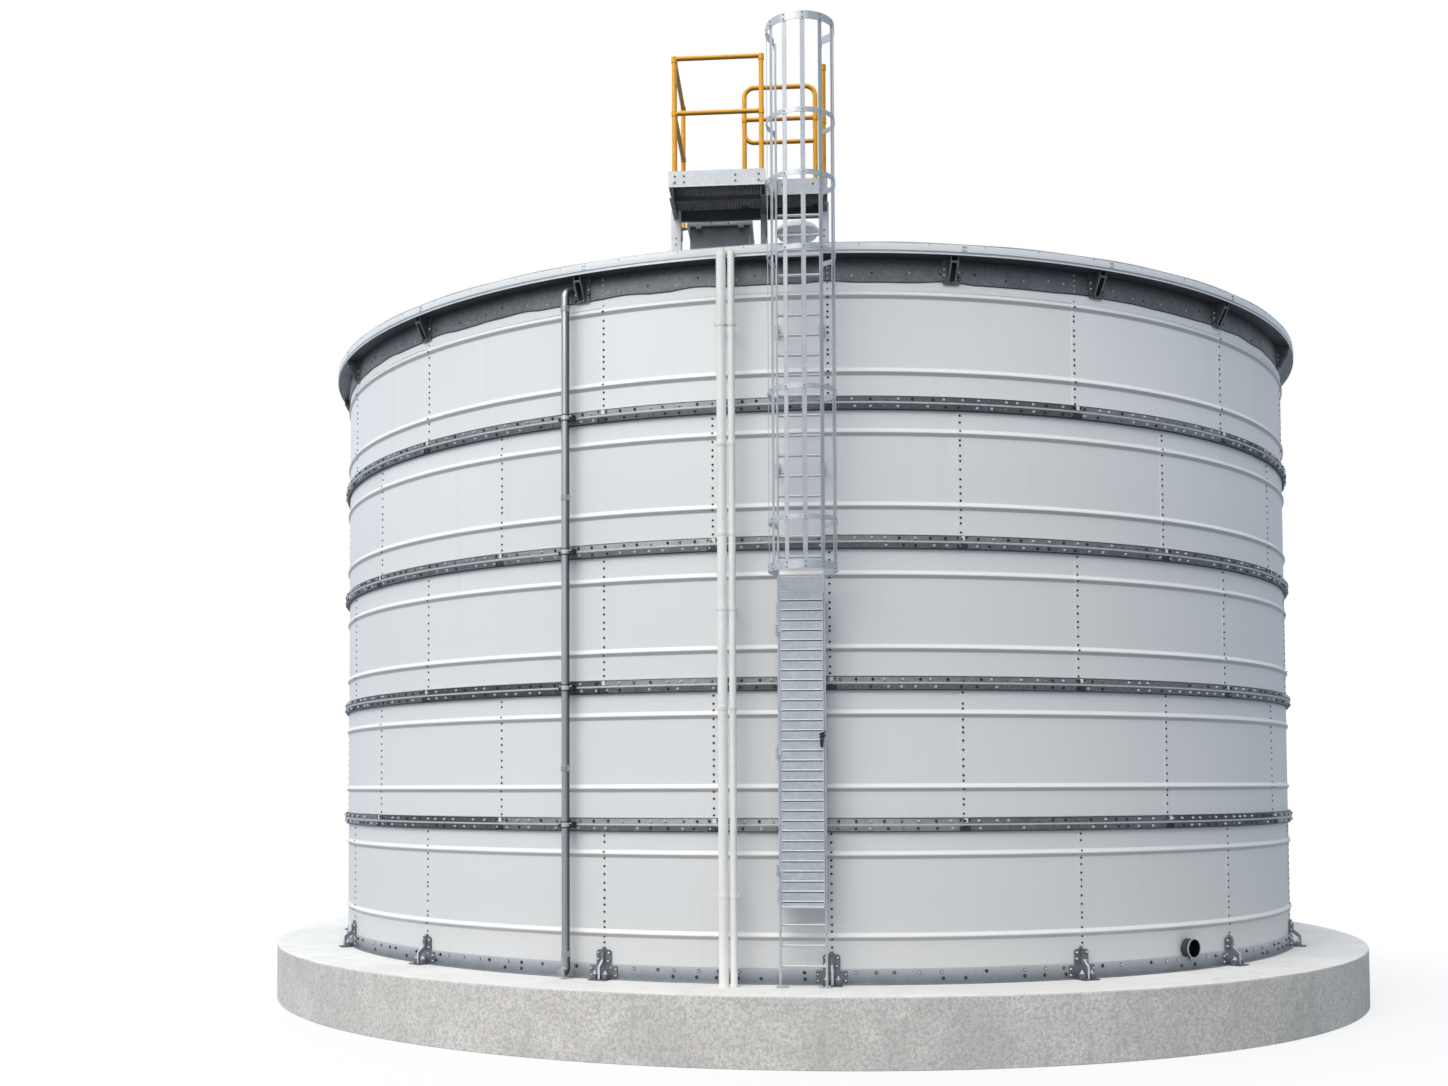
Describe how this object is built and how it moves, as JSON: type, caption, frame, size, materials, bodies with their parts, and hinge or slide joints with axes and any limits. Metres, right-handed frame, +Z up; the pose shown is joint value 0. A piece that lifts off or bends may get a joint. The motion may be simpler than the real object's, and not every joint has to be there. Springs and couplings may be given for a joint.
{
  "type": "bolted steel water tank",
  "caption": "Round bolted steel water tank on a concrete plinth, with stiffener rings, low roof, caged ladder, lockable ladder guard and roof platform.",
  "frame": {"origin": "centre of the plinth's underside, on the ground", "axes": "+Z up; the ladder side faces -Y; +X is to the right when facing the ladder"},
  "size_m": [14.1668, 14.1668, 10.072],
  "materials": {
    "concrete": null,
    "shell_enamel": "near-white coated steel sheet, satin",
    "galvanised_dark": "weathered zinc coating with spangle, dark grey",
    "galvanised_base": "zinc coating, mid grey",
    "galvanised_light": "fresh zinc coating, light grey",
    "roof_sheet": "profiled zinc-coated sheet",
    "cowl_white": "white weatherproof plastic",
    "iron_dark": "dark grey iron",
    "pipe_white": "warm white pipe, matt",
    "pipe_grey": "light grey pipe, matt",
    "grating_dark": "open steel grating, dark from below",
    "rail_yellow": "safety yellow paint, satin"
  },
  "bodies": {
    "tank": {"plinth": "concrete", "shell_course_1_front": "shell_enamel", "shell_course_1_back": "shell_enamel", "shell_course_2_front": "shell_enamel", "shell_course_2_back": "shell_enamel", "shell_course_3_front": "shell_enamel", "shell_course_3_back": "shell_enamel", "shell_course_4_front": "shell_enamel", "shell_course_4_back": "shell_enamel", "shell_course_5_front": "shell_enamel", "shell_course_5_back": "shell_enamel", "stiffener_ring_1": "galvanised_dark", "stiffener_ring_2": "galvanised_dark", "stiffener_ring_3": "galvanised_dark", "stiffener_ring_4": "galvanised_dark", "eave_skirt": "galvanised_dark", "base_angle": "galvanised_base", "eave": "galvanised_light", "ladder": "galvanised_light", "ladder_cage": "galvanised_light", "platform_frame": "galvanised_light", "kick_plates": "galvanised_light", "roof_front": "roof_sheet", "roof_right": "roof_sheet", "roof_back": "roof_sheet", "roof_left": "roof_sheet", "roof_cap": "roof_sheet", "roof_hatch": "roof_sheet", "roof_vent": "cowl_white", "outlet_nozzle": "iron_dark", "overflow_pipe": "pipe_white", "inlet_pipe": "pipe_white", "downpipe": "pipe_grey", "platform_grating": "grating_dark", "front_rail": "rail_yellow", "left_rail": "rail_yellow", "rear_rail": "rail_yellow", "right_rail": "rail_yellow"},
    "guard": {"ladder_guard": "galvanised_light", "guard_latch": "iron_dark"}
  },
  "joints": [
    {"name": "guard_hinge", "type": "hinge", "parent": "tank", "child": "guard", "pos_m": [-0.291, -6.506, 2.99], "axis": [0, 0, -1], "range_deg": [0, 110]}
  ]
}
